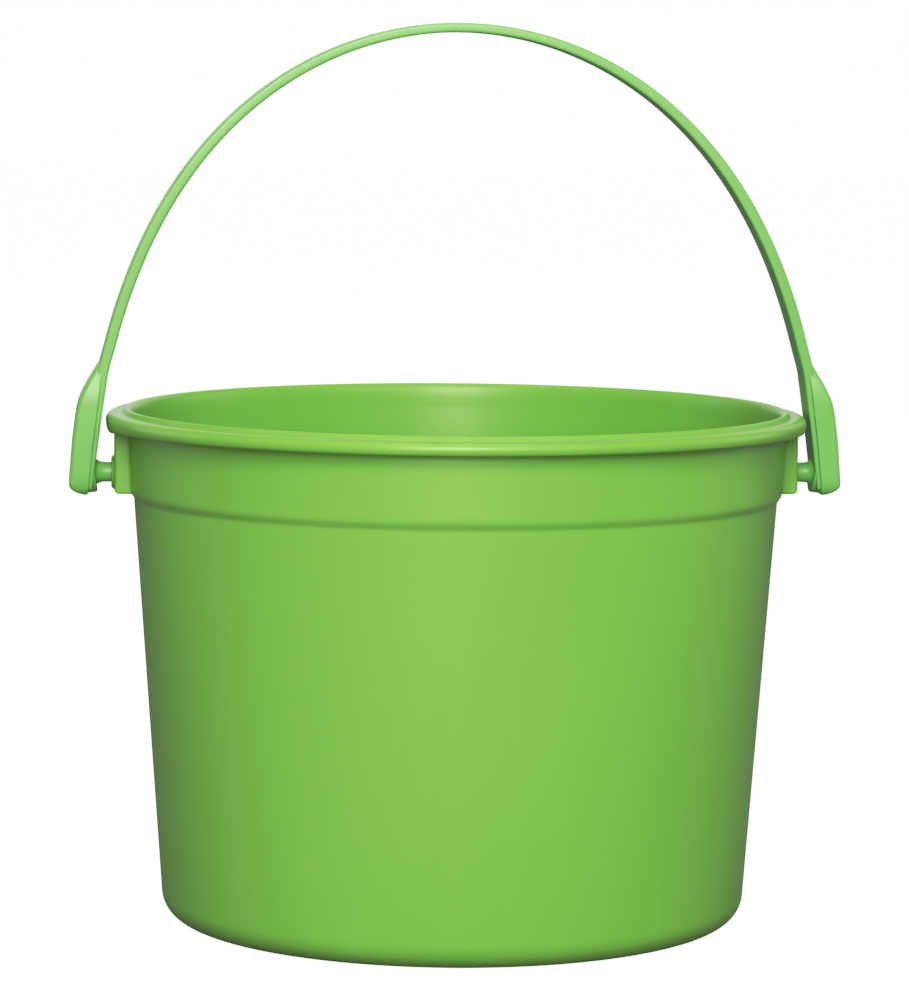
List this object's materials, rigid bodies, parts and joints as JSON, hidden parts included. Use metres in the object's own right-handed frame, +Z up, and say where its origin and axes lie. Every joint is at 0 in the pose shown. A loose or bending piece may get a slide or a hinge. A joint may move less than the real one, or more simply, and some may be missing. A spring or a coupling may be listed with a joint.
{
  "type": "sand bucket",
  "caption": "Round tapered plastic toy pail with a hooked rim and a swinging bail handle, for scooping and carrying sand or water.",
  "frame": {"origin": "centre of the foot ring, on the surface the bucket stands on", "axes": "+Z up along the tub's axis, +X and -X through the two ears, so the handle turns about X; the part is symmetric, so either Y side may be the front"},
  "size_m": [0.1824, 0.165, 0.2114],
  "materials": {
    "bucket_plastic": "satin-gloss injection-moulded polypropylene, leaf green",
    "handle_plastic": "satin-gloss injection-moulded polypropylene, slightly cooler green"
  },
  "bodies": {
    "tub": {"bucket_tub": "bucket_plastic"},
    "bail": {"bail_handle": "handle_plastic"}
  },
  "joints": [
    {"name": "bail_hinge", "type": "hinge", "parent": "tub", "child": "bail", "pos_m": [0, 0, 0.1058], "axis": [1, 0, 0], "range_deg": [-132, 132]}
  ]
}
